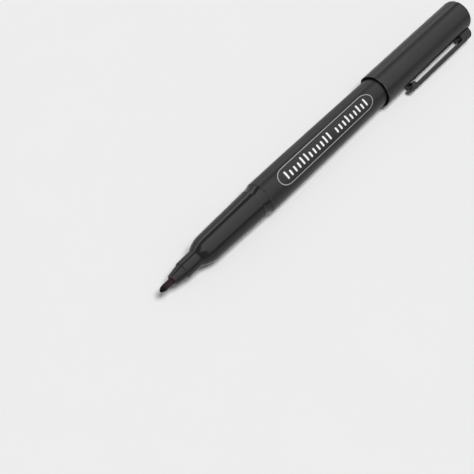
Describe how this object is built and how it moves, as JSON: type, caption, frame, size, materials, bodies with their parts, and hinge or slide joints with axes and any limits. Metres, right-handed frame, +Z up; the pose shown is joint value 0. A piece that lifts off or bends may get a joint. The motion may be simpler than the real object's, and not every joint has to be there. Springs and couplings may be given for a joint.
{
  "type": "counterfeit detector pen",
  "caption": "Felt-tip banknote checking pen with a slim black barrel, a stepped front section, and its clipped cap posted on the tail.",
  "frame": {"origin": "on the pen's axis, at the seam where the front section meets the barrel", "axes": "+X along the axis from the nib towards the tail, +Z up with the pen lying on its side"},
  "size_m": [0.1582, 0.015, 0.0126],
  "materials": {
    "nib_felt": "matte",
    "nose_plastic": "satin",
    "section_plastic": "gloss",
    "barrel_plastic": "satin",
    "reservoir_film": "gloss",
    "reservoir_fibre": "matte",
    "plug_plastic": "satin",
    "cap_plastic": "satin",
    "liner_plastic": "satin",
    "clip_plastic": "satin",
    "label_ink": "matte"
  },
  "bodies": {
    "pen": {"nib": "nib_felt", "nose_cone": "nose_plastic", "front_section": "section_plastic", "barrel": "barrel_plastic", "reservoir_wrap": "reservoir_film", "reservoir_core": "reservoir_fibre", "end_plug": "plug_plastic"},
    "cap": {"cap_shell": "cap_plastic", "cap_liner": "liner_plastic"},
    "clip": {"clip": "clip_plastic"}
  },
  "joints": [
    {"name": "cap_slide", "type": "slide", "parent": "pen", "child": "cap", "axis": [1, 0, 0], "range_m": [0, 0.03]},
    {"name": "clip_flex", "type": "hinge", "parent": "cap", "child": "clip", "pos_m": [0.1103, -0.00529, -0.0032], "axis": [0, -0.518, 0.8554], "range_deg": [0, 4], "stiffness_Nm_per_rad": 1.2}
  ]
}
